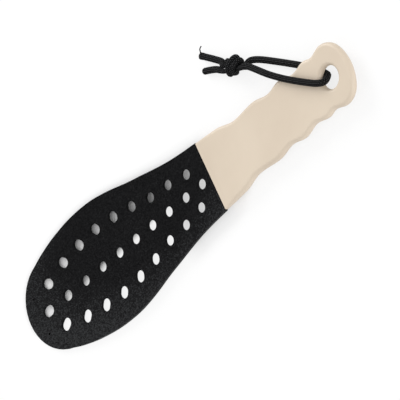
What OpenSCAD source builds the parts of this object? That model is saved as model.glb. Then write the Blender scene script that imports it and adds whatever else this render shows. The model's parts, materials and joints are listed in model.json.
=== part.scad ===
// Foot file: a thin perforated blade with abrasive on both faces, a moulded grip and a cord lanyard.
// It lies on the plane z = 0 with its tip down and its grip propped on the cord that passes under it.
// All sizes are in millimetres.

/* [Blade] */
// Length of the blade from its tip to the grip
blade_len = 136.6; // [120:0.2:150]
// Width of the blade at its widest place
blade_w = 60.6; // [56:0.2:66]
// Width of the blade where it meets the grip
blade_root_w = 36.6; // [34:0.2:40]
// Radius of the round tip
tip_r = 23.2; // [21:0.2:25]
// Thickness of the steel plate
plate_t = 0.8; // [0.6:0.1:1.2]
// Thickness of the adhesive film on each face
film_t = 0.1; // [0.05:0.05:0.2]
// Thickness of each abrasive sheet
sheet_t = 0.25; // [0.2:0.05:0.5]

/* [Dust holes] */
// Width of a dust hole in the plate
dust_hole_d = 4.9; // [4:0.1:5.6]
// How far the hole in a sheet stands back from the hole in the plate
sheet_hole_margin = 0.25; // [0.1:0.05:0.5]
// Diameter of the two racking holes near the tip
rack_hole_d = 1.2; // [0.8:0.1:2]
// Distance of the racking holes from the tip
rack_hole_back = 8; // [7:0.5:10]
// Distance between the racking holes
rack_hole_gap = 18.8; // [14:0.2:20]

/* [Grip] */
// Length of the grip from the blade to its round end
grip_len = 103.4; // [96:0.2:112]
// Width of the grip at its front
grip_w = 36; // [34:0.5:38]
// Thickness of the grip
grip_t = 4.2; // [4.2:0.1:5.5]
// Radius of the rounded long edges
grip_edge_r = 1.9; // [1:0.1:2]
// Radius of the softened front edges
grip_front_r = 0.6; // [0.2:0.1:1]
// Radius of the broad curve at the grip's end
grip_end_r = 22; // [20:0.5:24]

/* [Eyelet] */
// Diameter of the hanging hole
eyelet_d = 11.2; // [10.8:0.1:12]
// Distance of the hanging hole from the grip's end
eyelet_back = 13.9; // [13:0.1:15]
// Radius of the rounded rim of the hanging hole
eyelet_rim_r = 1.7; // [1.5:0.1:1.9]

/* [Tang] */
// Width of the tang inside the grip
tang_w = 22; // [18:0.5:24]
// Length of the tang inside the grip
tang_len = 77; // [60:0.5:79]
// Diameter of the holes that lock the grip to the tang
lock_hole_d = 7; // [5:0.5:9]
// Distance between the locking holes
lock_hole_pitch = 22; // [16:0.5:24]

/* [Cord] */
// Diameter of the braided cord
cord_d = 3.4; // [3:0.1:3.4]
// Clearance between the cord and the grip
cord_gap = 0.15; // [0.1:0.05:0.5]

/* [Hidden] */

// How far a cutting shape runs past what it cuts
overrun = 1;
// Running gap between the sheets' ends and the grip's front
sheet_end_gap = 0.2;
// Where the first locking hole lies behind the grip's front
lock_hole_first = 18;

// Half widths of the blade, from the end of the tip's arc to the grip:
// share of the blade's length, then share of the way from the root's half width to the widest
blade_side_shares = [[0.167, 0.525], [0.236, 0.750], [0.305, 0.900], [0.359, 0.975], [0.418, 1],
    [0.483, 0.967], [0.566, 0.808], [0.649, 0.583], [0.717, 0.433], [0.786, 0.275], [0.855, 0.142],
    [0.924, 0.058], [1, 0]];
// Half angle of the tip's arc
tip_half_angle = 75;
// Steps of the tip's arc and of each stretch of the side
tip_steps = 20;
side_steps = 3;

// Middle row of dust holes: share of the blade's length, stretch, then share of the hole's width
middle_hole_shares = [[0.098, 1.25, 1.07], [0.204, 1.06, 1.04], [0.304, 1, 1], [0.398, 1, 1],
    [0.492, 1, 1], [0.583, 1, 1], [0.675, 1, 1], [0.766, 1, 1], [0.859, 1, 1], [0.949, 1, 1]];
// Side rows: share of the length, share of the half width, stretch, and the long axis's angle
side_hole_shares = [[0.145, 0.366, 1.31, 150], [0.245, 0.485, 1.28, 137], [0.342, 0.543, 1.26, 131],
    [0.437, 0.571, 1.20, 126], [0.532, 0.538, 1.17, 118], [0.625, 0.475, 1.11, 115],
    [0.717, 0.388, 1, 0], [0.810, 0.360, 1, 0], [0.903, 0.297, 1, 0]];

// Crests and hollows of the grip's finger waves: share of its length, share of its half width
grip_wave_shares = [[0.130, 0.955], [0.263, 0.806], [0.399, 0.869], [0.499, 0.772], [0.586, 0.864],
    [0.677, 0.756], [0.761, 0.844], [0.807, 0.789], [0.884, 0.894]];
// Steps of each half wave, of each end arc and of the rounded edge
wave_steps = 6;
arc_steps = 7;
edge_steps = 5;

// Sides of the cord's tubes
cord_sides = 8;
// Distance from the hanging hole to where the cord comes out from under the grip's side
cord_exit_back = 14;
// The loop of cord: out of the knot, over the grip, down through the hanging hole, back under
loop_route = [[59.4, 35, 6.8], [63.8, 32.3, 6.9], [68.6, 27.5, 7.6], [75.6, 20.2, 9], [82.5, 13.8, 9.6],
    [89, 8.4, 9.7], [95, 3.8, 9.8], [98.4, 1.3, 9.9], [100.5, 0.1, 9.5], [101.9, -0.4, 8.6],
    [102.6, -0.1, 7.3], [102.8, 0.8, 5.9], [102.7, 2, 4.4], [102.4, 3.4, 2.9], [101.1, 5, 1.9], [99, 7.6, 1.7],
    [95, 11.4, 1.7], [89.5, 16.4, 1.7], [83, 21.6, 1.7], [76, 27, 1.7], [70, 31.5, 2], [66, 33.8, 2.6],
    [62.4, 35.3, 3.2], [58.6, 36.6, 3.4]];
// Which points of the loop lie at the two ends of the stretch inside the hanging hole
bight_first = 7;
bight_last = 15;
// The longer tail, out of the knot to its cut end
long_tail_route = [[56.3, 37.6, 3.4], [53, 40.2, 2.9], [49.3, 43.1, 2.1], [44.2, 47.8, 1.7], [39, 52.4, 1.7]];
// The shorter tail
short_tail_route = [[56.3, 35.8, 6.8], [52.9, 37.4, 6.2], [49.4, 38.8, 4.6], [45.7, 41, 2.9],
    [41.3, 43.3, 1.8], [36.4, 45.3, 1.7]];
// A level direction that crosses the loop, from which its rings are squared up
loop_across = [0.6, 0.8, 0];
upward = [0, 0, 1];
// Middle of the knot, the way its turns face, and the radius of a turn's centreline
knot_spot = [57.6, 35.9];
knot_heading = -36;
knot_turn_r = 3.4;
// Distance between the two turns of the knot
knot_turn_pitch = 3.1;

// Values worked out from the sizes above
file_len = blade_len + grip_len;
tip_x = -file_len / 2;
grip_x = tip_x + blade_len;
end_x = file_len / 2;
eyelet_x = end_x - eyelet_back;
blade_t = plate_t + 2 * film_t + 2 * sheet_t;
film_z = plate_t / 2;
sheet_z = film_z + film_t;
// The grip is lifted just clear of the cord beneath it
lift = cord_d + cord_gap + (grip_t - blade_t) / 2;
lie_angle = asin(lift / (eyelet_x - cord_exit_back - tip_x));
lie_height = blade_t / 2 * cos(lie_angle) - tip_x * sin(lie_angle);

// Lays a piece of the file, modelled about its own middle plane, on the cord and its tip
module lie() {
    translate([0, 0, lie_height]) rotate([0, -lie_angle, 0]) children();
}

// Half width of the blade at one of its side stations
function blade_half(share) = blade_root_w / 2 + (blade_w - blade_root_w) / 2 * share;

// A smooth curve through the points p, with n steps between each two
function through(p, n) = [
    for (i = [0:len(p) - 2], k = [0:n - 1])
        let (a = p[max(i - 1, 0)], b = p[i], c = p[i + 1], d = p[min(i + 2, len(p) - 1)], t = k / n)
            ((2 * b) + (c - a) * t + (2 * a - 5 * b + 4 * c - d) * t * t
                + (3 * b - a - 3 * c + d) * t * t * t) / 2
];

tip_arc = [
    for (k = [0:tip_steps / 2])
        let (turn = 180 - tip_half_angle * k / (tip_steps / 2))
            [tip_x + tip_r + tip_r * cos(turn), tip_r * sin(turn)]
];
blade_stations = [
    tip_arc[len(tip_arc) - 1],
    for (s = blade_side_shares) [tip_x + blade_len * s[0], blade_half(s[1])]
];
blade_side = concat([for (k = [0:len(tip_arc) - 2]) tip_arc[k]], through(blade_stations, side_steps),
    [[grip_x, blade_root_w / 2]]);

// The points of one side, from the tip or the front, and the same points mirrored on the way back
function both_sides(side, first) = concat(side, [
    for (k = [len(side) - 1:-1:first]) [side[k][0], -side[k][1]]
]);

// Outline of the blade, cut off square at the given place along the file
module blade_outline(to_x) {
    intersection() {
        polygon(both_sides(blade_side, 1));
        translate([tip_x, -blade_w / 2]) square([to_x - tip_x, blade_w]);
    }
}

// A round or oval through hole of width d and length d times stretch
module dust_hole(d, stretch, turn, depth) {
    reach = d * (stretch - 1) / 2;
    rotate([0, 0, turn]) {
        for (side = [-reach, reach])
            translate([side, 0, 0]) cylinder(d = d, h = depth, center = true, $fn = 32);
        if (reach > 0) cube([2 * reach, d, depth], center = true);
    }
}

// All the dust holes and racking holes, each wider by the margin on every side
module blade_holes(margin) {
    depth = blade_t + 2 * overrun;
    for (h = middle_hole_shares)
        translate([tip_x + blade_len * h[0], 0, 0])
            dust_hole(dust_hole_d * h[2] + 2 * margin, h[1], 0, depth);
    for (h = side_hole_shares, side = [-1, 1])
        translate([tip_x + blade_len * h[0], side * blade_w / 2 * h[1], 0])
            dust_hole(dust_hole_d + 2 * margin, h[2], side * h[3], depth);
    for (side = [-1, 1])
        translate([tip_x + rack_hole_back, side * rack_hole_gap / 2, 0])
            cylinder(d = rack_hole_d, h = depth, center = true, $fn = 24);
}

// The tang as it lies inside the grip, with its locking holes; its root reaches into the blade
module tang(thick) {
    root_x = grip_x - overrun;
    round_x = grip_x + tang_len - tang_w / 2;
    difference() {
        union() {
            translate([root_x, -tang_w / 2, -thick / 2]) cube([round_x - root_x, tang_w, thick]);
            translate([round_x, 0, 0]) cylinder(d = tang_w, h = thick, center = true, $fn = 64);
        }
        for (k = [0:2])
            translate([grip_x + lock_hole_first + lock_hole_pitch * k, 0, 0])
                cylinder(d = lock_hole_d, h = thick + 2 * overrun, center = true, $fn = 40);
    }
}

// A layer of the blade that starts at height z and ends before the grip
module blade_layer(z, thick, margin) {
    difference() {
        translate([0, 0, z]) linear_extrude(thick) blade_outline(grip_x - sheet_end_gap);
        blade_holes(margin);
    }
}

module blade_plate() {
    color("#2B2B2D") lie() union() {
        difference() {
            translate([0, 0, -plate_t / 2]) linear_extrude(plate_t) blade_outline(grip_x);
            blade_holes(0);
        }
        tang(plate_t);
    }
}

module coarse_adhesive_film() {
    color("#B8AE98") lie() blade_layer(film_z, film_t, sheet_hole_margin);
}

module fine_adhesive_film() {
    color("#B8AE98") lie() mirror([0, 0, 1]) blade_layer(film_z, film_t, sheet_hole_margin);
}

module coarse_abrasive_sheet() {
    color("#232426") lie() blade_layer(sheet_z, sheet_t, sheet_hole_margin);
}

module fine_abrasive_sheet() {
    color("#2E2F31") lie() mirror([0, 0, 1]) blade_layer(sheet_z, sheet_t, sheet_hole_margin);
}

// The grip's wavy side, from its front to the last crest
grip_stations = [for (s = grip_wave_shares) [grip_x + grip_len * s[0], grip_w / 2 * s[1]]];
grip_wave = [
    for (i = [0:len(grip_stations) - 2], k = [0:wave_steps - 1])
        let (a = grip_stations[i], b = grip_stations[i + 1], t = k / wave_steps)
            [a[0] + (b[0] - a[0]) * t, a[1] + (b[1] - a[1]) * (1 - cos(180 * t)) / 2]
];
// The end: a corner arc from the last crest runs into the broad end arc
crest = grip_stations[len(grip_stations) - 1];
end_mid_x = end_x - grip_end_r;
corner_r = (pow(grip_end_r, 2) - pow(crest[0] - end_mid_x, 2) - pow(crest[1], 2))
    / (2 * (grip_end_r - crest[1]));
corner_mid = [crest[0], crest[1] - corner_r];
corner_turn = atan2(corner_mid[1], corner_mid[0] - end_mid_x);
grip_side = concat([[grip_x, grip_w / 2]], grip_wave,
    [for (k = [0:arc_steps - 1]) let (turn = 90 - (90 - corner_turn) * k / arc_steps)
        corner_mid + corner_r * [cos(turn), sin(turn)]],
    [for (k = [0:arc_steps]) let (turn = corner_turn * (1 - k / arc_steps))
        [end_mid_x + grip_end_r * cos(turn), grip_end_r * sin(turn)]]);
grip_outline = [for (k = [0:len(grip_side) - 1]) grip_side[k],
    for (k = [len(grip_side) - 2:-1:0]) [grip_side[k][0], -grip_side[k][1]]];

// Outward direction of the outline p at point i; the two front corners look straight sideways
function outward(p, i) =
    let (last = len(p) - 1, a = p[max(i - 1, 0)], b = p[min(i + 1, last)], along = b - a)
        (i == 0) ? [0, 1] : (i == last) ? [0, -1] : [-along[1], along[0]] / norm(along);

// One level of the grip: its outline drawn in where the edge rounds off by the angle a
function grip_ring(a, z) = [
    for (i = [0:len(grip_outline) - 1])
        let (p = grip_outline[i] - outward(grip_outline, i) * grip_edge_r * (1 - cos(a)))
            [max(p[0], grip_x + grip_front_r * (1 - cos(a))), p[1], z]
];
edge_angles = [for (k = [0:edge_steps]) 90 * k / edge_steps];
straight_z = grip_t / 2 - grip_edge_r;
grip_rings = concat(
    [for (k = [edge_steps:-1:0]) grip_ring(edge_angles[k], -straight_z - grip_edge_r * sin(edge_angles[k]))],
    [for (a = edge_angles) grip_ring(a, straight_z + grip_edge_r * sin(a))]);

// An end face over a ring of n points, in strips from each point to the one opposite
function end_strips(n) = [
    for (i = [0:ceil(n / 2) - 2])
        (i + 1 == n - 2 - i) ? [i, i + 1, n - 1 - i] : [i, i + 1, n - 2 - i, n - 1 - i]
];

// A closed skin over a stack of rings with equal numbers of points, which run clockwise from above
module skin(rings) {
    n = len(rings[0]);
    last = len(rings) - 1;
    points = [for (ring = rings, p = ring) p];
    sides = [for (r = [0:last - 1], i = [0:n - 1])
        let (a = r * n + i, b = r * n + (i + 1) % n) each [[a, b, b + n], [a, b + n, a + n]]];
    bottom = [for (strip = end_strips(n)) [for (k = [len(strip) - 1:-1:0]) strip[k]]];
    top = [for (strip = end_strips(n)) [for (i = strip) last * n + i]];
    polyhedron(points, concat(bottom, sides, top));
}

// The hanging hole: a straight bore that opens into a rounded rim at each face
module eyelet_cut() {
    r = eyelet_d / 2;
    rim_z = grip_t / 2 - eyelet_rim_r;
    flare = [for (k = [0:edge_steps + 2]) let (a = 90 * k / (edge_steps + 2))
        [r + eyelet_rim_r * (1 - cos(a)), rim_z + eyelet_rim_r * sin(a)]];
    mouth = flare[len(flare) - 1];
    cylinder(r = r, h = grip_t + 2 * overrun, center = true, $fn = 64);
    for (side = [0, 1])
        mirror([0, 0, side]) rotate_extrude($fn = 64)
            polygon(concat([[0, rim_z]], flare, [[mouth[0], mouth[1] + overrun], [0, mouth[1] + overrun]]));
}

module grip() {
    color("#DCCDBB") lie() difference() {
        skin(grip_rings);
        tang(plate_t);
        translate([eyelet_x, 0, 0]) eyelet_cut();
    }
}

// Direction of a route at point i
function heading(p, i) =
    let (along = p[min(i + 1, len(p) - 1)] - p[max(i - 1, 0)]) along / norm(along);

// A ring of the cord about point i of the route p, squared up from the direction ref
function cord_ring(p, i, ref) =
    let (t = heading(p, i), raw = ref - (ref * t) * t, u = raw / norm(raw), v = cross(t, u))
        [for (k = [0:cord_sides - 1]) let (turn = -360 * (k + 0.5) / cord_sides)
            p[i] + cord_d / 2 * (u * cos(turn) + v * sin(turn))];

// A length of cord along the points first to last of a route
module cord(route, first, last, ref) {
    skin([for (i = [first:last]) cord_ring(route, i, ref)]);
}

module lanyard_over_strand() {
    color("#262628") cord(loop_route, 0, bight_first, loop_across);
}

module lanyard_bight() {
    color("#262628") cord(loop_route, bight_first, bight_last, loop_across);
}

module lanyard_under_strand() {
    color("#262628") cord(loop_route, bight_last, len(loop_route) - 1, loop_across);
}

module lanyard_long_tail() {
    color("#262628") cord(long_tail_route, 0, len(long_tail_route) - 1, upward);
}

module lanyard_short_tail() {
    color("#262628") cord(short_tail_route, 0, len(short_tail_route) - 1, upward);
}

// The knot's outer shape: two turns side by side about a full core
module lanyard_knot() {
    color("#262628") translate([knot_spot[0], knot_spot[1], knot_turn_r + cord_d / 2])
        rotate([0, 90, knot_heading]) {
            for (side = [-1, 1])
                translate([0, 0, side * knot_turn_pitch / 2]) rotate_extrude($fn = 48)
                    translate([knot_turn_r, 0]) circle(d = cord_d, $fn = 32);
            cylinder(r = knot_turn_r, h = knot_turn_pitch + cord_d / 2, center = true, $fn = 48);
        }
}

blade_plate();
coarse_adhesive_film();
fine_adhesive_film();
coarse_abrasive_sheet();
fine_abrasive_sheet();
grip();
lanyard_over_strand();
lanyard_bight();
lanyard_under_strand();
lanyard_knot();
lanyard_long_tail();
lanyard_short_tail();
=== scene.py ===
# Foot file: the steel blade stays as built, and gets grit sheets, a moulded grip and a braided cord.
import json
import math
import random

import bpy
import numpy as np
from mathutils import Matrix, Vector


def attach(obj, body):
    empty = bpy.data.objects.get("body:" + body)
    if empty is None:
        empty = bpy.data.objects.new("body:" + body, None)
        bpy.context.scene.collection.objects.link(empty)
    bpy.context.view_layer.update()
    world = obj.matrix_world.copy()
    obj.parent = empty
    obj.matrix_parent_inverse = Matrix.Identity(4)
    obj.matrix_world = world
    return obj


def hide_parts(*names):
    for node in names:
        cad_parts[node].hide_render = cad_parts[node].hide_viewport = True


mm = 0.001

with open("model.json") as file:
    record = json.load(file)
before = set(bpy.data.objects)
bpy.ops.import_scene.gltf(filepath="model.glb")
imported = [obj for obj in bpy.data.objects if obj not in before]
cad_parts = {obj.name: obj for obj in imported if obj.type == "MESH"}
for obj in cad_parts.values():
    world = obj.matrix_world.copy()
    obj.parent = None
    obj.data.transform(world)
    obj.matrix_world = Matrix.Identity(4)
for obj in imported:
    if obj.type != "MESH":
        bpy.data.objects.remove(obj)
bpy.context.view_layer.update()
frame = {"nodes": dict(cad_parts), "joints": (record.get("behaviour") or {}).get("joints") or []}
nodes = frame["nodes"]
print("frame loaded,", len(nodes), "nodes")


# The file lies tilted on its cord. The cord's hinge is the axis of the hanging hole, so it gives the tilt.
hinge = frame["joints"][0]
normal = Vector(hinge["axis"]).normalized()
alongFile = Vector((normal.z, 0, -normal.x))
holeX = 106.1 * mm    # the hanging hole, measured along the file from its middle
origin = Vector(hinge["pos_m"]) - alongFile * holeX
fileMatrix = Matrix((
    (alongFile.x, 0, normal.x, origin.x),
    (alongFile.y, 1, normal.y, origin.y),
    (alongFile.z, 0, normal.z, origin.z),
    (0, 0, 0, 1),
))


def pickOnly(*pieces):
    bpy.ops.object.select_all(action="DESELECT")
    for piece in pieces:
        piece.select_set(True)
    bpy.context.view_layer.objects.active = pieces[0]


def editAll():
    bpy.ops.object.mode_set(mode="EDIT")
    bpy.ops.mesh.select_all(action="SELECT")


def editEdges(piece, wanted):
    # into edit mode with only those edges selected whose two points are wanted
    bpy.ops.object.mode_set(mode="EDIT")
    bpy.ops.mesh.select_mode(type="EDGE")
    bpy.ops.mesh.select_all(action="DESELECT")
    bpy.ops.object.mode_set(mode="OBJECT")
    for edge in piece.data.edges:
        edge.select = all(wanted(piece.data.vertices[k].co) for k in edge.vertices)
    bpy.ops.object.mode_set(mode="EDIT")


def modify(piece, kind, **settings):
    pickOnly(piece)
    bpy.ops.object.modifier_add(type=kind)
    modifier = piece.modifiers[-1]
    for key, value in settings.items():
        setattr(modifier, key, value)
    bpy.ops.object.modifier_apply(modifier=modifier.name)


def layOnFile(piece):
    # from the flat frame of the file to its place on the surface, with the place in the mesh
    pickOnly(piece)
    piece.matrix_world = fileMatrix
    bpy.ops.object.transform_apply(location=True, rotation=True, scale=True)


# Camera: it looks down at the object from beyond the end of the grip, and is turned on its side
cameraSetup = {
    "azimuth": 60.16,        # degrees, like the elevation and the roll
    "elevation": 48.6,
    "roll": -91.61,
    "distance": 8.0,         # far away, because the picture shows hardly any perspective
    "viewWidth": 0.1875,     # metres of the object across the picture
    "aside": 0.0025,         # metres from the origin to the middle of the view, along the picture's sides
    "upward": -0.00255,
    "sensor": 36.0,          # mm
    "nearest": 0.1,
    "farthest": 100.0,
}


def addCamera(setup):
    bpy.ops.object.camera_add()
    camera = bpy.context.object
    camera.name = "photoCamera"
    turn = (
        Matrix.Rotation(math.radians(setup["azimuth"]), 3, "Z")
        @ Matrix.Rotation(math.radians(90 - setup["elevation"]), 3, "X")
        @ Matrix.Rotation(math.radians(setup["roll"]), 3, "Z")
    )
    camera.location = turn @ Vector((setup["aside"], setup["upward"], setup["distance"]))
    camera.rotation_euler = turn.to_euler()
    camera.data.type = "PERSP"
    camera.data.sensor_width = setup["sensor"]
    camera.data.lens = setup["sensor"] * setup["distance"] / setup["viewWidth"]
    camera.data.clip_start = setup["nearest"]
    camera.data.clip_end = setup["farthest"]
    bpy.context.scene.camera = camera


addCamera(cameraSetup)
print("camera placed")


# Materials: each starts from the real finish, and its dictionary holds the settings of its nodes
def linear(hexColour):
    channels = [int(hexColour[k:k + 2], 16) / 255 for k in (1, 3, 5)]
    return [c / 12.92 if c <= 0.04045 else ((c + 0.055) / 1.055) ** 2.4 for c in channels] + [1]


def fillRamp(ramp, stops):
    for element, (place, colour) in zip(ramp.elements, (stops[0], stops[-1])):
        element.position = place
        element.color = linear(colour)
    for place, colour in stops[1:-1]:
        ramp.elements.new(place).color = linear(colour)


def addNode(tree, kind, settings=None, links=None):
    # a setting goes to the socket of that name or number, and to the node itself where it has no such socket
    node = tree.nodes.new(kind)
    for key, value in (settings or {}).items():
        if key == "stops":
            fillRamp(node.color_ramp, value)
        elif isinstance(key, int) or key in node.inputs:
            node.inputs[key].default_value = value
        else:
            setattr(node, key, value)
    for key, source in (links or {}).items():
        tree.links.new(source, node.inputs[key])
    return node


def newMaterial(name):
    material = bpy.data.materials.new(name)
    material.use_nodes = True
    material.node_tree.nodes.clear()
    return material, material.node_tree


def dress(piece, material):
    piece.data.materials.clear()
    piece.data.materials.append(material)


# The grains of such sheets are about 0.2 and 0.1 mm wide. They are drawn twice as coarse, so that they show.
coarseGrains = {
    "name": "coarseSiliconCarbide",
    "width": 0.42 * mm,
    "colours": ("#101011", "#202021", "#343536"),
}
fineGrains = {
    "name": "fineSiliconCarbide",
    "width": 0.25 * mm,
    "colours": ("#0F0F10", "#1C1C1D", "#323334"),
}
gritLook = {
    "patches": {"Scale": 1 / (16.7 * mm), "Detail": 3},
    "patchWear": {"From Min": 0.3, "From Max": 0.7, "To Max": 0.07},
    "darkest": (-34 * mm, 12 * mm),    # painted sheen: the abrasive is painted lighter away from this place
    "reach": (84 * mm, 40 * mm),       # along and across the file
    # painted sheen, lighter towards the tip and one long edge
    "paintedSheen": {"From Min": 0.6, "From Max": 1.1, "To Max": 0.34},
    "tone": {"operation": "MULTIPLY_ADD", 1: 0.6},
    "toneShares": (0.1, 0.6, 0.75),
    "dullness": {"To Min": 0.7, "To Max": 1},
    "relief": 0.6,
    "reliefShare": 0.3,                # height of a grain, as a share of its width
    "surface": {"IOR": 1.5, "Specular IOR Level": 0.015},
}


def siliconCarbideGrit(grains, look):
    # Coated abrasive: black grains in black resin. It scatters nearly all light, with a few bright grain
    # faces.
    # Towards the tip and one long edge it is painted lighter, a painted sheen.
    material, tree = newMaterial(grains["name"])
    place = addNode(tree, "ShaderNodeTexCoord")
    cells = addNode(tree, "ShaderNodeTexVoronoi", {"Scale": 1 / grains["width"]},
                    {"Vector": place.outputs["Object"]})
    cellShade = addNode(tree, "ShaderNodeSeparateColor", {}, {"Color": cells.outputs["Color"]})
    patches = addNode(tree, "ShaderNodeTexNoise", look["patches"], {"Vector": place.outputs["Object"]})
    patchWear = addNode(tree, "ShaderNodeMapRange", look["patchWear"], {"Value": patches.outputs["Fac"]})
    (middleX, middleY), (reachX, reachY) = look["darkest"], look["reach"]
    centred = addNode(tree, "ShaderNodeMapping",
                      {"Location": (-middleX / reachX, -middleY / reachY, 0),
                       "Scale": (1 / reachX, 1 / reachY, 0)},
                      {"Vector": place.outputs["Object"]})
    outward = addNode(tree, "ShaderNodeVectorMath", {"operation": "LENGTH"}, {0: centred.outputs[0]})
    # painted sheen: lighter away from the darkest place, towards the tip and one long edge
    paintedSheen = addNode(tree, "ShaderNodeMapRange", look["paintedSheen"], {"Value": outward.outputs["Value"]})
    # random wear patches together with the painted sheen
    wearAndSheen = addNode(tree, "ShaderNodeMath", {"operation": "ADD"},
                   {0: patchWear.outputs[0], 1: paintedSheen.outputs[0]})
    tone = addNode(tree, "ShaderNodeMath", look["tone"], {0: cellShade.outputs["Red"], 2: wearAndSheen.outputs[0]})
    colours = addNode(tree, "ShaderNodeValToRGB",
                      {"stops": list(zip(look["toneShares"], grains["colours"]))}, {"Fac": tone.outputs[0]})
    dullness = addNode(tree, "ShaderNodeMapRange", look["dullness"], {"Value": cellShade.outputs["Green"]})
    relief = addNode(tree, "ShaderNodeBump",
                     {"Strength": look["relief"], "Distance": look["reliefShare"] * grains["width"]},
                     {"Height": cells.outputs["Distance"]})
    shader = addNode(tree, "ShaderNodeBsdfPrincipled", look["surface"],
                     {"Base Color": colours.outputs[0], "Roughness": dullness.outputs[0],
                      "Normal": relief.outputs[0]})
    addNode(tree, "ShaderNodeOutputMaterial", {}, {"Surface": shader.outputs[0]})
    return material


lacquerLook = {
    "waves": {"Scale": 1 / (1.11 * mm), "Detail": 4},
    "colours": {"stops": [(0.35, "#0C0C0D"), (0.7, "#18181A")]},
    "dullness": {"To Min": 0.32, "To Max": 0.5},
    "relief": {"Strength": 0.2, "Distance": 0.05 * mm},
    "surface": {"IOR": 1.5, "Specular IOR Level": 0.08},
}


def lacqueredSteel(look):
    # Stamped spring steel under black lacquer: smooth and dull, with faint waves from the press
    material, tree = newMaterial("blackLacqueredSteel")
    place = addNode(tree, "ShaderNodeTexCoord")
    waves = addNode(tree, "ShaderNodeTexNoise", look["waves"], {"Vector": place.outputs["Object"]})
    colours = addNode(tree, "ShaderNodeValToRGB", look["colours"], {"Fac": waves.outputs["Fac"]})
    dullness = addNode(tree, "ShaderNodeMapRange", look["dullness"], {"Value": waves.outputs["Fac"]})
    relief = addNode(tree, "ShaderNodeBump", look["relief"], {"Height": waves.outputs["Fac"]})
    shader = addNode(tree, "ShaderNodeBsdfPrincipled", look["surface"],
                     {"Base Color": colours.outputs[0], "Roughness": dullness.outputs[0],
                      "Normal": relief.outputs[0]})
    addNode(tree, "ShaderNodeOutputMaterial", {}, {"Surface": shader.outputs[0]})
    return material


adhesiveLook = {
    # specks of dust are under 0.1 mm wide, and are drawn coarser to show
    "dust": {"Scale": 1 / (0.667 * mm), "Detail": 2},
    "colours": {"stops": [(0.4, "#100F0E"), (0.65, "#1F1E1B")]},
    "surface": {"IOR": 1.47, "Roughness": 0.5},
}


def acrylicAdhesive(look):
    # A clear film of transfer adhesive, dark from the plate behind it and from the dust on its cut edge
    material, tree = newMaterial("acrylicAdhesive")
    place = addNode(tree, "ShaderNodeTexCoord")
    dust = addNode(tree, "ShaderNodeTexNoise", look["dust"], {"Vector": place.outputs["Object"]})
    colours = addNode(tree, "ShaderNodeValToRGB", look["colours"], {"Fac": dust.outputs["Fac"]})
    shader = addNode(tree, "ShaderNodeBsdfPrincipled", look["surface"], {"Base Color": colours.outputs[0]})
    addNode(tree, "ShaderNodeOutputMaterial", {}, {"Surface": shader.outputs[0]})
    return material


absLook = {
    "tint": {"Scale": 1 / (28.6 * mm), "Detail": 3},
    # a spark-eroded grain is about 0.1 mm wide, and is drawn coarser to show
    "grain": {"Scale": 1 / (0.357 * mm), "Detail": 2, "Roughness": 0.6},
    "colours": {"stops": [(0.3, "#D5C5B1"), (0.7, "#DCCDB9")]},
    "dullness": {"To Min": 0.4, "To Max": 0.52},
    "relief": {"Strength": 0.12, "Distance": 0.03 * mm},
    "surface": {"IOR": 1.52},
}


def mouldedAbs(look):
    # Cream ABS from a spark-eroded mould: an even satin skin with a fine grain
    material, tree = newMaterial("creamAbs")
    place = addNode(tree, "ShaderNodeTexCoord")
    tint = addNode(tree, "ShaderNodeTexNoise", look["tint"], {"Vector": place.outputs["Object"]})
    grain = addNode(tree, "ShaderNodeTexNoise", look["grain"], {"Vector": place.outputs["Object"]})
    colours = addNode(tree, "ShaderNodeValToRGB", look["colours"], {"Fac": tint.outputs["Fac"]})
    dullness = addNode(tree, "ShaderNodeMapRange", look["dullness"], {"Value": grain.outputs["Fac"]})
    relief = addNode(tree, "ShaderNodeBump", look["relief"], {"Height": grain.outputs["Fac"]})
    shader = addNode(tree, "ShaderNodeBsdfPrincipled", look["surface"],
                     {"Base Color": colours.outputs[0], "Roughness": dullness.outputs[0],
                      "Normal": relief.outputs[0]})
    addNode(tree, "ShaderNodeOutputMaterial", {}, {"Surface": shader.outputs[0]})
    return material


braidLook = {
    "raised": {"To Max": 0.85},
    # a fibre is about 0.02 mm thick, and is drawn coarser to show
    "fibres": {"Scale": 1 / (0.111 * mm), "Detail": 1},
    "tone": {"operation": "MULTIPLY_ADD", 1: 0.25},
    # painted sheen on the crowns and painted shade in the grooves
    "colours": {"stops": [(0.35, "#010101"), (0.75, "#0A0A0B"), (1.0, "#5A5A5C")]},
    "relief": {"Strength": 0.3, "Distance": 0.05 * mm},
    "surface": {"IOR": 1.53, "Roughness": 0.7, "Specular IOR Level": 0.05},
}


def braidedNylon(look):
    # Black nylon braid. The crowns of the yarns are painted lighter, a painted sheen, and the grooves between
    # them painted nearly black, a painted shade
    material, tree = newMaterial("blackBraidedNylon")
    place = addNode(tree, "ShaderNodeTexCoord")
    crown = addNode(tree, "ShaderNodeAttribute", {"attribute_name": "crown"})
    # painted sheen and shade: the colour follows the height of the braid
    raised = addNode(tree, "ShaderNodeMapRange", look["raised"], {"Value": crown.outputs["Fac"]})
    fibres = addNode(tree, "ShaderNodeTexNoise", look["fibres"], {"Vector": place.outputs["Object"]})
    tone = addNode(tree, "ShaderNodeMath", look["tone"], {0: fibres.outputs["Fac"], 2: raised.outputs[0]})
    colours = addNode(tree, "ShaderNodeValToRGB", look["colours"], {"Fac": tone.outputs[0]})
    relief = addNode(tree, "ShaderNodeBump", look["relief"], {"Height": fibres.outputs["Fac"]})
    shader = addNode(tree, "ShaderNodeBsdfPrincipled", look["surface"],
                     {"Base Color": colours.outputs[0], "Normal": relief.outputs[0]})
    addNode(tree, "ShaderNodeOutputMaterial", {}, {"Surface": shader.outputs[0]})
    return material


coarseGrit = siliconCarbideGrit(coarseGrains, gritLook)
fineGrit = siliconCarbideGrit(fineGrains, gritLook)
steelFinish = lacqueredSteel(lacquerLook)
adhesiveFinish = acrylicAdhesive(adhesiveLook)
creamPlastic = mouldedAbs(absLook)
cordFinish = braidedNylon(braidLook)
print("materials ready")


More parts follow.
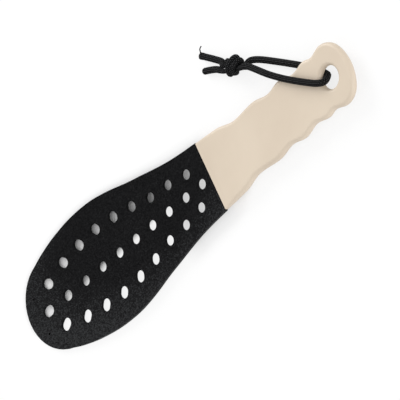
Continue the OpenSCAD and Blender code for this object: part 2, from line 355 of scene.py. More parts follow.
# Blade: the plate and the films keep their CAD shapes
dress(nodes["blade_plate"], steelFinish)
dress(nodes["coarse_adhesive_film"], adhesiveFinish)
dress(nodes["fine_adhesive_film"], adhesiveFinish)

gritSheets = {
    "coarseGritSheet": {
        "node": "coarse_abrasive_sheet", "finish": coarseGrit, "slot": "coarse_grit",
        "side": 1, "cell": 0.45 * mm, "height": 0.09 * mm, "seed": 11,
    },
    "fineGritSheet": {
        "node": "fine_abrasive_sheet", "finish": fineGrit, "slot": "fine_grit",
        "side": -1, "cell": 0.5 * mm, "height": 0.04 * mm, "seed": 12,
    },
}
bladeArea = {
    "tipX": -120 * mm,
    "length": 136.6 * mm,
    "width": 60.6 * mm,
    "halfThickness": 0.75 * mm,
    "sheet": 0.25 * mm,
    "spare": 1 * mm,
    "weld": 0.001 * mm,
    "flush": 0.01 * mm,    # a point this close to the open face lies on it
    "facing": 0.9,         # cosine of the angle past which a face is a wall and not the open face
    "sunken": 0.4,         # share of the grit's height that lies below the open face
}


def roughenFace(sheet, setup, area, face):
    # only the points of the open face that lie inside the outline move, each by its own amount
    up = normal * setup["side"]
    mesh = sheet.data
    level = [v.index for v in mesh.vertices if abs((v.co - origin).dot(up) - face) < area["flush"]]
    rim = set()
    for polygon in mesh.polygons:
        if abs(polygon.normal.dot(up)) < area["facing"]:
            rim.update(polygon.vertices)
    draw = random.Random(setup["seed"])
    for index in level:
        if index not in rim:
            mesh.vertices[index].co += up * setup["height"] * (draw.random() - area["sunken"])


def addGritSheet(name, setup, area):
    # a finely divided slab is cut to the outline and holes of the CAD sheet, and then its face is roughened
    pickOnly(nodes[setup["node"]])
    bpy.ops.object.duplicate()
    cutter = bpy.context.object
    pickOnly(cutter)
    editAll()
    bpy.ops.mesh.remove_doubles(threshold=area["weld"])
    bpy.ops.object.mode_set(mode="OBJECT")
    length = area["length"] + 2 * area["spare"]
    width = area["width"] + 2 * area["spare"]
    face = area["halfThickness"] - setup["height"] / 2
    bpy.ops.object.select_all(action="DESELECT")
    bpy.ops.mesh.primitive_grid_add(
        x_subdivisions=round(length / setup["cell"]), y_subdivisions=round(width / setup["cell"]), size=1,
        location=(area["tipX"] + area["length"] / 2, 0, face))
    sheet = bpy.context.object
    sheet.name = name
    sheet.scale = (length, width, 1)
    bpy.ops.object.transform_apply(location=True, rotation=True, scale=True)
    editAll()
    bpy.ops.mesh.extrude_region_move(TRANSFORM_OT_translate={"value": (0, 0, -2 * area["sheet"])})
    bpy.ops.mesh.select_all(action="SELECT")
    bpy.ops.mesh.normals_make_consistent(inside=False)
    bpy.ops.object.mode_set(mode="OBJECT")
    if setup["side"] < 0:
        sheet.rotation_euler = (math.pi, 0, 0)
        bpy.ops.object.transform_apply(location=True, rotation=True, scale=True)
    layOnFile(sheet)
    modify(sheet, "BOOLEAN", operation="INTERSECT", object=cutter, solver="EXACT")
    bpy.data.objects.remove(cutter)
    roughenFace(sheet, setup, area, face)
    dress(sheet, setup["finish"])
    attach(sheet, "file")
    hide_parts(setup["node"])
    print(name, len(sheet.data.polygons), "faces")


for sheetName, sheetSetup in gritSheets.items():
    addGritSheet(sheetName, sheetSetup, bladeArea)


# Grip: drawn flat as an outline with its hanging hole, given its thickness and a full round edge
grip = {
    "front": 16.6 * mm,
    "length": 103.4 * mm,
    "width": 36 * mm,
    "thickness": 4.2 * mm,
    "edgeRadius": 1.9 * mm,
    "sharpRadius": 0.7 * mm,   # the long edges are sharper where they meet the blade
    "sharpReach": 0.5 * mm,    # points up to this far behind the front get the sharp radius
    "frontRadius": 0.35 * mm,
    "taper": 14 * mm,          # over this length the grip gets thinner towards the blade
    "frontShare": 0.45,        # of its thickness is left there, just proud of the sheets
    "endRadius": 22 * mm,
    "holeRadius": 5.6 * mm,
    "spare": 4 * mm,           # drawn too long at the front, and cut off
    # crests and hollows of the finger waves: share of the length, share of the half width
    "waves": [(0.130, 0.955), (0.263, 0.806), (0.399, 0.869), (0.499, 0.772), (0.586, 0.864),
              (0.677, 0.756), (0.761, 0.844), (0.807, 0.789), (0.884, 0.894)],
    "waveSteps": 12,
    "arcSteps": 20,
    "holeSteps": 96,
    "edgeSteps": 6,
    "frontSteps": 4,
    "taperSteps": 6,
    "smoothAngle": 32,
    "weld": 0.002 * mm,
    "flush": 0.001 * mm,       # a point this close to a plane lies on it
    "facing": 0.9999,          # cosine of the angle up to which a face counts as flat
}


def gripOutline(size):
    half = size["width"] / 2
    stations = [(size["front"] + size["length"] * x, half * y) for x, y in size["waves"]]
    side = [(size["front"] - size["spare"], half), (size["front"], half)]
    for (ax, ay), (bx, by) in zip(stations, stations[1:]):
        for k in range(size["waveSteps"]):
            t = k / size["waveSteps"]
            side.append((ax + (bx - ax) * t, ay + (by - ay) * (1 - math.cos(math.pi * t)) / 2))
    # a corner arc leaves the last crest and runs into the broad arc of the end
    crestX, crestY = stations[-1]
    endMid = size["front"] + size["length"] - size["endRadius"]
    corner = ((size["endRadius"] ** 2 - (crestX - endMid) ** 2 - crestY ** 2)
              / (2 * (size["endRadius"] - crestY)))
    cornerMid = (crestX, crestY - corner)
    turn = math.atan2(cornerMid[1], cornerMid[0] - endMid)
    for k in range(size["arcSteps"]):
        angle = math.pi / 2 - (math.pi / 2 - turn) * k / size["arcSteps"]
        side.append((cornerMid[0] + corner * math.cos(angle), cornerMid[1] + corner * math.sin(angle)))
    for k in range(size["arcSteps"] + 1):
        angle = turn * (1 - k / size["arcSteps"])
        side.append((endMid + size["endRadius"] * math.cos(angle), size["endRadius"] * math.sin(angle)))
    return side + [(x, -y) for x, y in reversed(side[:-1])]


def hangingHole(size):
    angles = [2 * math.pi * k / size["holeSteps"] for k in range(size["holeSteps"])]
    radius = size["holeRadius"]
    return [(holeX + radius * math.cos(angle), radius * math.sin(angle)) for angle in angles]


def drawGrip(size):
    curve = bpy.data.curves.new("gripOutline", "CURVE")
    curve.dimensions = "2D"
    curve.fill_mode = "BOTH"
    curve.extrude = size["thickness"] / 2 - size["edgeRadius"]
    curve.bevel_depth = size["edgeRadius"]
    curve.bevel_resolution = size["edgeSteps"]
    curve.offset = -size["edgeRadius"]
    for loop in (gripOutline(size), hangingHole(size)):
        spline = curve.splines.new("POLY")
        spline.points.add(len(loop) - 1)
        for point, (x, y) in zip(spline.points, loop):
            point.co = (x, y, 0, 1)
        spline.use_cyclic_u = True
    piece = bpy.data.objects.new("gripShell", curve)
    bpy.context.collection.objects.link(piece)
    pickOnly(piece)
    bpy.ops.object.convert(target="MESH")
    editAll()
    bpy.ops.mesh.remove_doubles(threshold=size["weld"])
    bpy.ops.object.mode_set(mode="OBJECT")
    return bpy.context.object


def openFlatFaces(piece, size):
    bpy.ops.object.mode_set(mode="EDIT")
    bpy.ops.mesh.select_mode(type="FACE")
    bpy.ops.mesh.select_all(action="DESELECT")
    bpy.ops.object.mode_set(mode="OBJECT")
    for polygon in piece.data.polygons:
        polygon.select = abs(polygon.normal.z) > size["facing"]
    bpy.ops.object.mode_set(mode="EDIT")
    bpy.ops.mesh.delete(type="FACE")
    bpy.ops.object.mode_set(mode="OBJECT")


def sharpenFront(piece, size):
    # the rings of points at the front get a smaller radius, and the long edges taper towards them
    share = size["sharpRadius"] / size["edgeRadius"]
    level = size["thickness"] / 2 - size["edgeRadius"]
    inner = size["width"] / 2 - size["edgeRadius"]
    for v in piece.data.vertices:
        if v.co.x < size["front"] + size["sharpReach"] and abs(v.co.y) > inner - size["flush"]:
            y = size["width"] / 2 - size["sharpRadius"] + (abs(v.co.y) - inner) * share
            z = size["thickness"] / 2 - size["sharpRadius"] + (abs(v.co.z) - level) * share
            v.co.y = math.copysign(y, v.co.y)
            v.co.z = math.copysign(z, v.co.z)


def closeFlatFaces(piece, size):
    for level in (size["thickness"] / 2, -size["thickness"] / 2):
        editEdges(piece, lambda spot: abs(spot.z - level) < size["flush"])
        bpy.ops.mesh.fill(use_beauty=True)
    bpy.ops.object.mode_set(mode="OBJECT")


def cutFront(piece, size):
    # the spare length is cut off at the blade, and the new edge is rounded
    editAll()
    bpy.ops.mesh.bisect(plane_co=(size["front"], 0, 0), plane_no=(1, 0, 0), use_fill=True, clear_inner=True)
    bpy.ops.mesh.select_all(action="SELECT")
    bpy.ops.mesh.normals_make_consistent(inside=False)
    editEdges(piece, lambda spot: abs(spot.x - size["front"]) < size["flush"])
    bpy.ops.mesh.bevel(offset=size["frontRadius"], segments=size["frontSteps"], profile=0.5,
                       clamp_overlap=False)
    bpy.ops.object.mode_set(mode="OBJECT")


def thinFront(piece, size):
    # the front is cut across at even steps, and then every point there is drawn in towards the blade's middle
    for k in range(size["taperSteps"]):
        editAll()
        cutX = size["front"] + size["taper"] * (k + 1) / size["taperSteps"]
        bpy.ops.mesh.bisect(plane_co=(cutX, 0, 0), plane_no=(1, 0, 0))
        bpy.ops.object.mode_set(mode="OBJECT")
    for v in piece.data.vertices:
        share = min(1, max(0, (v.co.x - size["front"]) / size["taper"]))
        v.co.z *= size["frontShare"] + (1 - size["frontShare"]) * math.sin(share * math.pi / 2)


def addGrip(size):
    # the flat faces come out while the front is sharpened, and then they are filled again
    piece = drawGrip(size)
    openFlatFaces(piece, size)
    sharpenFront(piece, size)
    closeFlatFaces(piece, size)
    cutFront(piece, size)
    thinFront(piece, size)
    bpy.ops.object.shade_smooth_by_angle(angle=math.radians(size["smoothAngle"]))
    layOnFile(piece)
    modify(piece, "WEIGHTED_NORMAL", mode="FACE_AREA", keep_sharp=True)
    dress(piece, creamPlastic)
    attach(piece, "file")
    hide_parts("grip")
    print("grip", len(piece.data.polygons), "faces")


addGrip(grip)


# Cord: one length of braid from cut end to cut end, split into the stretches that the frame names
cord = {
    "radius": 1.7 * mm,
    "step": 0.18 * mm,
    "sides": 60,
    "yarns": 12,              # yarns that wind each way round
    "pick": 0.9 * mm,         # length of cord for each crossing of two yarns
    "relief": 0.2 * mm,
    "lowCrown": 0.45,         # height of a yarn's crown where it dips under, as a share
    "roundEnd": 1.3 * mm,     # the short tail's end is rounded over this length
    "roundShare": 0.85,       # of its section that is gone at the very end
    "flaredEnd": 2.5 * mm,    # the long tail's end is cut square and spreads a little
    "flare": 0.09,            # share of the radius that it gains
    "cutEdge": 0.4 * mm,
    "cutShare": 0.15,         # share of the radius that the edge of the cut loses
}

# Routes of the cord's middle line, in mm
loopRoute = [
    (59.4, 35, 6.8), (63.8, 32.3, 6.9), (68.6, 27.5, 7.6), (75.6, 20.2, 9), (82.5, 13.8, 9.6),
    (89, 8.4, 9.7), (95, 3.8, 9.8), (98.4, 1.3, 9.9), (100.5, 0.1, 9.5), (101.9, -0.4, 8.6),
    (102.6, -0.1, 7.3), (102.8, 0.8, 5.9), (102.7, 2, 4.4), (102.4, 3.4, 2.9), (101.1, 5, 1.9),
    (99, 7.6, 1.7), (95, 11.4, 1.7), (89.5, 16.4, 1.7), (83, 21.6, 1.7), (76, 27, 1.7),
    (70, 31.5, 2), (66, 33.8, 2.6), (62.4, 35.3, 3.2), (58.6, 36.6, 3.4),
]
bightFirst = 7     # the bight lies between these two points of the loop
bightLast = 15
longTailRoute = [(56.3, 37.6, 3.4), (53, 40.2, 2.9), (49.3, 43.1, 2.1), (44.2, 47.8, 1.7), (39, 52.4, 1.7)]
shortTailRoute = [(56.3, 35.8, 6.8), (52.9, 37.4, 6.2), (49.4, 38.8, 4.6), (45.7, 41, 2.9),
                  (41.3, 43.3, 1.8), (36.4, 45.3, 1.7)]

# Both strands together make one overhand knot. It is drawn large and open, and then pulled tight. In mm.
knot = {
    "middle": (55.4, 35.7, 5.1),
    "heading": -28,           # degrees round the vertical, from the tails to the loop
    "roll": -30,              # degrees round its own length
    "radius": 1.35,           # of the cord, squeezed in the knot
    "coreShare": 0.75,        # the core squeezes it more
    "coreAt": (0.22, 0.78),   # where the core is, as shares of a strand's length
    "coreSpread": 0.06,
    "openSpan": (0.035, 0.965),   # the stretch of a closed knot that is drawn
    "openSteps": 90,
    "openLoop": 4.0,
    "openLift": 1.2,
    "openRise": 4.6,
    "openApart": 1.1,         # of each strand from the line between them, in radii
    "lead": 3.0,              # how far a strand runs straight out of the open knot
    "reach": 15,
    "points": 86,
    "shortest": 0.4,          # step between points that the pull aims at
    "pullRounds": 2000,
    "pullSmoothing": 0.05,
    "settleRounds": 300,
    "settleSmoothing": 0.02,
    "bend": 1.05,             # tightest bend, as a share of the cord's thickness
    "keep": 7.0,              # the tied part that goes on the object
    "size": 6.0,              # how far from its middle the knot's own pieces reach
    "lineStep": 0.5,
    "joinPoints": 150,
    "joinRounds": 300,
    "joinEase": 0.985,        # shortens the joined strands a little, so that they lie taut
    "joinFrom": 9.5,          # distances from the middle between which a strand runs on into its route
    "joinTo": 22.0,
}
pulling = {
    "haste": 1.4,             # the goal is reached when 1 / 1.4 of the rounds are done
    "push": 0.45,             # share of an overlap that goes in a round
    "draw": 0.25,             # share of the excess length of a step that goes at a time
    "drawTimes": 4,
    "farAway": 1e3,
}


def runAlong(line):
    return np.concatenate([[0], np.cumsum(np.linalg.norm(np.diff(line[:, :3], axis=0), axis=1))])


def evenly(line, count):
    run = runAlong(line)
    places = np.linspace(0, run[-1], count)
    return np.stack([np.interp(places, run, column) for column in line.T], 1)


def smoothLine(points, step, divisions=40):
    # a curve through the points, then evenly spaced points along it, a step apart
    p = np.array(points, float)
    p = np.vstack([2 * p[0] - p[1], p, 2 * p[-1] - p[-2]])
    dense = []
    for a, b, c, d in zip(p, p[1:], p[2:], p[3:]):
        t = np.linspace(0, 1, divisions, endpoint=False)[:, None]
        dense.append((2 * b + (c - a) * t + (2 * a - 5 * b + 4 * c - d) * t ** 2
                      + (3 * b - a - 3 * c + d) * t ** 3) / 2)
    dense = np.vstack(dense + [p[-2:-1]])
    return evenly(dense, max(2, round(runAlong(dense)[-1] / step) + 1))


def routeLine(route):
    # the radius of the cord is the fourth value of each point
    return smoothLine([(*point, cord["radius"] / mm) for point in route], knot["lineStep"])


def openStrand(setup, side):
    # one strand of the open knot, from the loop to the tail; the other lies beside it
    turn = np.radians(180 + 360 * np.linspace(*setup["openSpan"], setup["openSteps"]))
    core = np.stack([
        setup["openLoop"] * (np.sin(turn) + 2 * np.sin(2 * turn)),
        setup["openLoop"] * (np.cos(turn) - 2 * np.cos(2 * turn)) + setup["openLift"],
        setup["openRise"] * np.sin(3 * turn) + side * setup["radius"] * setup["openApart"],
    ], 1)
    lead = np.array([setup["lead"], 0, 0])
    start = np.array([[setup["reach"], 0, side * setup["radius"]]])
    end = np.array([[-setup["reach"], 0, side * setup["radius"]]])
    line = evenly(np.vstack([start, core[:1] + lead, core, core[-1:] - lead, end]), setup["points"])
    share = np.linspace(0, 1, setup["points"])[::side]
    squeezed = sum(np.exp(-((share - place) / setup["coreSpread"]) ** 2) for place in setup["coreAt"])
    return np.column_stack([line, setup["radius"] * (1 - (1 - setup["coreShare"]) * squeezed)])


def stepsOf(strands):
    return np.array([runAlong(strand)[-1] / (len(strand) - 1) for strand in strands])


def pullTight(strands, goal, rounds, bendShare, smoothing, floorHeight=-pulling["farAway"]):
    # Each round draws the strands shorter, pushes touching turns apart to the cord's thickness and smooths
    # the bends. The two points at each end of a strand stay where they are.
    count = len(strands[0])
    points = np.vstack(strands)[:, :3]
    radius = np.vstack(strands)[:, 3]
    place = np.tile(np.arange(count), len(strands))
    strand = np.repeat(np.arange(len(strands)), count)
    free = ((place > 1) & (place < count - 2)).astype(float)[:, None]
    inner = np.flatnonzero((place > 0) & (place < count - 1))
    joined = (strand[1:] == strand[:-1])[:, None]
    sameStrand = strand[:, None] == strand
    steps = np.abs(place[:, None] - place)
    thick = radius[:, None] + radius
    bend = bendShare * thick
    first = stepsOf(strands)
    for k in range(rounds):
        spacing = (first + (goal - first) * min(1, pulling["haste"] * k / rounds))[strand]
        # points of one strand may come as close as the tightest bend lets them
        near = bend * np.sin(np.minimum(steps * spacing / bend, math.pi / 2))
        least = np.where(sameStrand, np.minimum(near, thick), thick)
        away = points[:, None, :] - points
        far = np.linalg.norm(away, axis=2) + np.eye(len(points)) * pulling["farAway"]
        push = np.clip(least - far, 0, None) / far
        hits = np.maximum(1, (push > 0).sum(1)) ** 0.5
        points = points + free * (push[:, :, None] * away).sum(1) * (pulling["push"] / hits)[:, None]
        for again in range(pulling["drawTimes"]):
            step = points[1:] - points[:-1]
            long = np.linalg.norm(step, axis=1)[:, None]
            drawn = np.where(joined, (long - spacing[1:, None]) / long, 0) * step * pulling["draw"]
            points[:-1] += drawn * free[:-1]
            points[1:] -= drawn * free[1:]
        middle = (points[inner - 1] + points[inner + 1]) / 2 - points[inner]
        points[inner] += smoothing * middle * free[inner]
        points[:, 2] = np.where(free[:, 0] > 0, np.maximum(points[:, 2], floorHeight + radius), points[:, 2])
    return [np.column_stack([points, radius])[strand == k] for k in range(len(strands))]


def tieKnot(setup):
    strands = [openStrand(setup, side) for side in (1, -1)]
    bend = setup["bend"]
    strands = pullTight(strands, setup["shortest"], setup["pullRounds"], bend, setup["pullSmoothing"])
    return pullTight(strands, stepsOf(strands), setup["settleRounds"], bend, setup["settleSmoothing"])


def placeStrand(strand, setup):
    heading, roll = math.radians(setup["heading"]), math.radians(setup["roll"])
    forward = np.array([math.cos(heading), math.sin(heading), 0])
    level = np.array([-forward[1], forward[0], 0])
    upright = np.array([0, 0, 1])
    sideways = level * math.cos(roll) + upright * math.sin(roll)
    raised = upright * math.cos(roll) - level * math.sin(roll)
    strand = strand[np.abs(strand[:, 0]) < setup["keep"]]
    spots = np.array(setup["middle"]) + strand[:, :3] @ np.array([forward, sideways, raised])
    return np.column_stack([spots, strand[:, 3]])


def joinKnot(strands, setup):
    # each strand runs on into its own side of the loop and into its own tail
    loop = routeLine(loopRoute)
    half = len(loop) // 2
    sides = [(loop[:half], routeLine(longTailRoute)), (loop[half:][::-1], routeLine(shortTailRoute))]
    chains, rests = [], []
    for strand, ends in zip(strands, sides):
        reach = [np.linalg.norm(end[:, :3] - np.array(setup["middle"]), axis=1) for end in ends]
        near = [end[(far > setup["joinFrom"]) & (far < setup["joinTo"])] for end, far in zip(ends, reach)]
        rests.append([end[far >= setup["joinTo"]] for end, far in zip(ends, reach)])
        chains.append(evenly(np.vstack([near[0][::-1], strand, near[1]]), setup["joinPoints"]))
    over, under = pullTight(chains, stepsOf(chains) * setup["joinEase"], setup["joinRounds"], setup["bend"],
                            setup["pullSmoothing"], floorHeight=0)
    (overRest, longEnd), (underRest, shortEnd) = rests
    return np.vstack([shortEnd[::-1], under[::-1], underRest, overRest[::-1], over, longEnd])


tied = [placeStrand(strand, knot) for strand in tieKnot(knot)]
cordLine = joinKnot(tied, knot)
cordLine = evenly(cordLine, round(runAlong(cordLine)[-1] / knot["lineStep"])) * mm
cordLine = smoothLine(cordLine, cord["step"])
print("knot tied")


def shapeEnds(line, setup):
    fromStart = runAlong(line)
    fromEnd = fromStart[-1] - fromStart
    dome = np.sqrt(1 - setup["roundShare"] * np.clip(1 - fromStart / setup["roundEnd"], 0, 1) ** 2)
    flare = 1 + setup["flare"] * np.clip(1 - fromEnd / setup["flaredEnd"], 0, 1)
    edge = 1 - setup["cutShare"] * np.clip(1 - fromEnd / setup["cutEdge"], 0, 1) ** 2
    line[:, 3] *= dome * flare * edge


shapeEnds(cordLine, cord)


def placeOf(point):
    return int(np.argmin(np.linalg.norm(cordLine[:, :3] - np.array(point) * mm, axis=1)))


def cordFrames(line):
    # two directions across the cord at each point, turned as little as possible from one to the next
    tangent = np.gradient(line[:, :3], axis=0)
    tangent /= np.linalg.norm(tangent, axis=1)[:, None]
    first = np.cross(tangent[0], (0, 0, 1))
    across = [first / np.linalg.norm(first)]
    for t in tangent[1:]:
        v = across[-1] - t * across[-1].dot(t)
        across.append(v / np.linalg.norm(v))
    across = np.array(across)
    return across, np.cross(tangent, across)


cordAcross, cordUp = cordFrames(cordLine)


def braidCrown(run, turn, yarns, low):
    # height of the braid, from 0 in the grooves to 1 on the crowns: each yarn goes over two and under two
    p = run + yarns * turn
    q = run - yarns * turn
    i, j = np.floor(p), np.floor(q)
    firstOver = np.mod(i - j, 4) < 2
    across = np.where(firstOver, p - i, q - j) - 0.5
    along = np.where(firstOver, np.mod(i - q + 1, 4), np.mod(p - j - 2, 4))
    arch = np.sin(math.pi * np.clip(along, 0, 2) / 2)
    return np.sqrt(np.clip(1 - (2 * across) ** 2, 0, 1)) * (low + (1 - low) * arch)


def addCordPiece(name, first, last):
    run = np.arange(first, last + 1) * cord["step"] / cord["pick"]
    turn = np.arange(cord["sides"]) / cord["sides"]
    crown = braidCrown(run[:, None], turn[None, :], cord["yarns"], cord["lowCrown"])
    radius = cordLine[first:last + 1, 3:] - cord["relief"] * (1 - crown)
    angle = 2 * math.pi * turn
    centre = cordLine[first:last + 1, None, :3]
    ring = centre + radius[..., None] * (
        cordAcross[first:last + 1, None, :] * np.cos(angle)[None, :, None]
        + cordUp[first:last + 1, None, :] * np.sin(angle)[None, :, None])
    points = [tuple(v) for v in ring.reshape(-1, 3)]
    sides, rings = cord["sides"], len(run)
    faces = [(r * sides + k, r * sides + (k + 1) % sides,
              (r + 1) * sides + (k + 1) % sides, (r + 1) * sides + k)
             for r in range(rings - 1) for k in range(sides)]
    faces.append(tuple(reversed(range(sides))))
    faces.append(tuple((rings - 1) * sides + k for k in range(sides)))
    mesh = bpy.data.meshes.new(name)
    mesh.from_pydata(points, [], faces)
    shade = mesh.attributes.new("crown", "FLOAT", "POINT")
    shade.data.foreach_set("value", crown.reshape(-1).astype(np.float32))
    piece = bpy.data.objects.new(name, mesh)
    bpy.context.collection.objects.link(piece)
    pickOnly(piece)
    bpy.ops.object.shade_smooth()
    dress(piece, cordFinish)
    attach(piece, "lanyard")
    return piece


inKnot = np.linalg.norm(cordLine[:, :3] - np.array(knot["middle"]) * mm, axis=1) < knot["size"] * mm
shortTailKnot, knotUnder, overKnot, knotLongTail = np.flatnonzero(np.diff(inKnot)) + 1
underBight, bightOver = placeOf(loopRoute[bightLast]), placeOf(loopRoute[bightFirst])
marks = [0, shortTailKnot, knotUnder, underBight, bightOver, overKnot, knotLongTail, len(cordLine) - 1]
stretchNodes = [
    ("shortTail", "lanyard_short_tail"),
    ("knotInnerTurn", "lanyard_knot"),
    ("underStrand", "lanyard_under_strand"),
    ("bight", "lanyard_bight"),
    ("overStrand", "lanyard_over_strand"),
    ("knotOuterTurn", "lanyard_knot"),
    ("longTail", "lanyard_long_tail"),
]
stretches = {}
for (stretchName, stretchNode), first, last in zip(stretchNodes, marks, marks[1:]):
    stretches[stretchName] = addCordPiece(stretchName, first, last)
    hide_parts(stretchNode)


# A loose filament at the long tail's end. Its route is in mm.
filament = {
    "route": [(40.2, 53.0, 2.6), (40.9, 53.9, 3.1), (41.5, 54.4, 3.6), (42.5, 54.7, 4.1), (43.6, 54.8, 4.5)],
    "step": 0.25,
    "radius": 0.28 * mm,
    "edgeSteps": 2,
}


def addFilament(setup, tail):
    # the loose filament becomes part of the tail's mesh
    curve = bpy.data.curves.new("filament", "CURVE")
    curve.dimensions = "3D"
    curve.bevel_depth = setup["radius"]
    curve.bevel_resolution = setup["edgeSteps"]
    curve.use_fill_caps = True
    line = smoothLine(setup["route"], setup["step"]) * mm
    spline = curve.splines.new("POLY")
    spline.points.add(len(line) - 1)
    for point, spot in zip(spline.points, line):
        point.co = (*spot, 1)
    piece = bpy.data.objects.new("filament", curve)
    bpy.context.collection.objects.link(piece)
    pickOnly(piece)
    bpy.ops.object.convert(target="MESH")
    dress(piece, cordFinish)
    pickOnly(tail, piece)
    bpy.ops.object.join()


addFilament(filament, stretches["longTail"])


def declareStrand(name, first, last):
    # the path runs from where the strand leaves the hanging hole to the knot
    path = cordLine[first:last + 1, :3]
    if name == "underStrand":
        path = path[::-1]


declareStrand("overStrand", bightOver, overKnot)
declareStrand("underStrand", knotUnder, underBight)
print("cord laid,", round(len(cordLine) * cord["step"] / mm), "mm in all")


# Floor and light
# The floor's shade is painted by place. Under one side of the blade it shows its real deep shadow, where the
# holes show it. Under the other side, beyond a straight edge, light is painted on it, and around the blade it
# is painted white, so that the shadow is faint.
floorSetup = {
    "size": 80.0,    # metres
    "paper": "#F2F2F2",
    "deepMiddle": (-52 * mm, 0, 0),
    "deepReach": (70 * mm, 35 * mm, 1),
    "deepWhite": 0.0,
    "fade": 0.3,
    "faintWhite": 0.8,
    # painted light under the lit side of the blade
    "litSide": (0.096, -0.995, 0),
    "litFrom": (-8.9 * mm, -4.9 * mm),
    "litWhite": 0.85,
    "gripSide": (-20 * mm, -8 * mm),    # towards the grip the painted light on the lit side is weaker and the deep side gets some painted light, so both sides come closer together
    "gripLit": 0.46,
    "gripDeep": 0.16,
    "rackingHole": (-112 * mm, -9.4 * mm, 0),    # the painted light is left out round the racking hole on the lit side, so it shows a dark floor too
    "rackingDark": (2.6 * mm, 3.2 * mm),
}
# Places and sizes in metres, power in watts
lamps = {
    "key": {"place": (-0.35, 1.3, 0.75), "size": 1.0, "power": 14},
    "fill": {"place": (-0.9, -0.5, 1.2), "size": 1.4, "power": 2},
    "side": {"place": (1.2, -0.8, 0.55), "size": 1.0, "power": 9},
}
worldStrength = 0.63


def floorWhiteness(tree, setup):
    # how white the floor shows at each place, from 0 in the deep shadow to 1; all whiteness above 0 is
    # painted light
    place = addNode(tree, "ShaderNodeNewGeometry")
    fromMiddle = addNode(tree, "ShaderNodeVectorMath", {"operation": "SUBTRACT", 1: setup["deepMiddle"]},
                         {0: place.outputs["Position"]})
    inReaches = addNode(tree, "ShaderNodeVectorMath", {"operation": "DIVIDE", 1: setup["deepReach"]},
                        {0: fromMiddle.outputs[0]})
    reach = addNode(tree, "ShaderNodeVectorMath", {"operation": "LENGTH"}, {0: inReaches.outputs[0]})
    # painted white around the blade, so that the shadow there is faint
    outside = addNode(tree, "ShaderNodeMapRange",
                      {"From Min": 1, "From Max": 1 + setup["fade"], "To Min": setup["deepWhite"],
                       "To Max": setup["faintWhite"]}, {"Value": reach.outputs["Value"]})
    # painted light under the lit side, beyond a straight edge
    towardLight = addNode(tree, "ShaderNodeVectorMath", {"operation": "DOT_PRODUCT", 1: setup["litSide"]},
                          {0: place.outputs["Position"]})
    litPart = addNode(tree, "ShaderNodeMapRange",
                      {"From Min": setup["litFrom"][0], "From Max": setup["litFrom"][1],
                       "To Min": setup["deepWhite"], "To Max": setup["litWhite"]},
                      {"Value": towardLight.outputs["Value"]})
    across = addNode(tree, "ShaderNodeSeparateXYZ", {}, {"Vector": place.outputs["Position"]})
    # towards the grip the painted light fades and the deep side gets some painted light
    start, end = setup["gripSide"]
    less = addNode(tree, "ShaderNodeMapRange",
                   {"From Min": start, "From Max": end, "To Min": 1, "To Max": setup["gripLit"]},
                   {"Value": across.outputs["X"]})
    more = addNode(tree, "ShaderNodeMapRange",
                   {"From Min": start, "From Max": end, "To Min": 0, "To Max": setup["gripDeep"]},
                   {"Value": across.outputs["X"]})
    # no painted light round the racking hole
    toRacking = addNode(tree, "ShaderNodeVectorMath", {"operation": "DISTANCE", 1: setup["rackingHole"]},
                        {0: place.outputs["Position"]})
    pastRacking = addNode(tree, "ShaderNodeMapRange",
                          {"From Min": setup["rackingDark"][0], "From Max": setup["rackingDark"][1]},
                          {"Value": toRacking.outputs["Value"]})
    litShare = addNode(tree, "ShaderNodeMath", {"operation": "MULTIPLY"},
                       {0: less.outputs[0], 1: pastRacking.outputs[0]})
    under = addNode(tree, "ShaderNodeMath", {"operation": "MULTIPLY_ADD"},
                    {0: litPart.outputs[0], 1: litShare.outputs[0], 2: more.outputs[0]})
    return addNode(tree, "ShaderNodeMath", {"operation": "MAXIMUM"},
                   {0: outside.outputs[0], 1: under.outputs[0]})


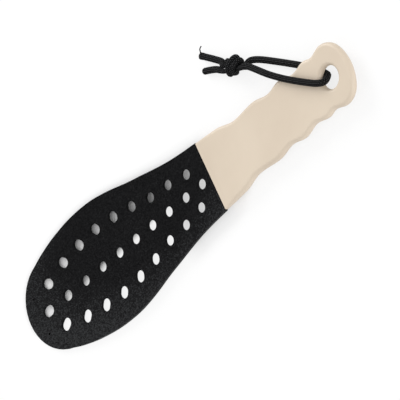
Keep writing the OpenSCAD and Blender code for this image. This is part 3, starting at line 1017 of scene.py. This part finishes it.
def whiteSweep(setup):
    # White paper: it lights the object as paper does, but where it is seen its light and shade are painted by
    # place
    material, tree = newMaterial("whiteSweep")
    paper = addNode(tree, "ShaderNodeBsdfDiffuse", {"Color": linear(setup["paper"])})
    shadowed = addNode(tree, "ShaderNodeBsdfDiffuse", {"Color": (1, 1, 1, 1)})
    white = addNode(tree, "ShaderNodeEmission", {"Color": (1, 1, 1, 1), "Strength": 1})
    whiteness = floorWhiteness(tree, setup)
    seen = addNode(tree, "ShaderNodeMixShader", {},
                   {0: whiteness.outputs[0], 1: shadowed.outputs[0], 2: white.outputs[0]})
    rays = addNode(tree, "ShaderNodeLightPath")
    either = addNode(tree, "ShaderNodeMath", {"operation": "MAXIMUM"},
                     {0: rays.outputs["Is Camera Ray"], 1: rays.outputs["Is Glossy Ray"]})
    anyRay = addNode(tree, "ShaderNodeMath", {"operation": "MAXIMUM"},
                     {0: either.outputs[0], 1: rays.outputs["Is Transmission Ray"]})
    mixed = addNode(tree, "ShaderNodeMixShader", {},
                    {0: anyRay.outputs[0], 1: paper.outputs[0], 2: seen.outputs[0]})
    addNode(tree, "ShaderNodeOutputMaterial", {}, {"Surface": mixed.outputs[0]})
    return material


def addFloor(setup):
    bpy.ops.object.select_all(action="DESELECT")
    bpy.ops.mesh.primitive_plane_add(size=setup["size"])
    floor = bpy.context.object
    floor.name = "floor"
    dress(floor, whiteSweep(setup))


def addLamp(name, setup):
    bpy.ops.object.light_add(type="AREA", location=setup["place"])
    lamp = bpy.context.object
    lamp.name = name
    lamp.data.shape = "DISK"
    lamp.data.size = setup["size"]
    lamp.data.energy = setup["power"]
    lamp.rotation_euler = (-Vector(setup["place"])).to_track_quat("-Z", "Y").to_euler()
    lamp.visible_camera = False


def addWorld(strength):
    world = bpy.data.worlds.new("studio")
    bpy.context.scene.world = world
    world.use_nodes = True
    tree = world.node_tree
    tree.nodes.clear()
    rays = addNode(tree, "ShaderNodeLightPath")
    level = addNode(tree, "ShaderNodeMapRange", {"To Min": strength, "To Max": 1},
                    {"Value": rays.outputs["Is Camera Ray"]})
    background = addNode(tree, "ShaderNodeBackground", {"Color": (1, 1, 1, 1)},
                         {"Strength": level.outputs[0]})
    addNode(tree, "ShaderNodeOutputWorld", {}, {"Surface": background.outputs[0]})


addFloor(floorSetup)
for lampName, lampSetup in lamps.items():
    addLamp(lampName, lampSetup)
addWorld(worldStrength)
bpy.context.scene.view_settings.view_transform = "Standard"
print("floor and light ready")
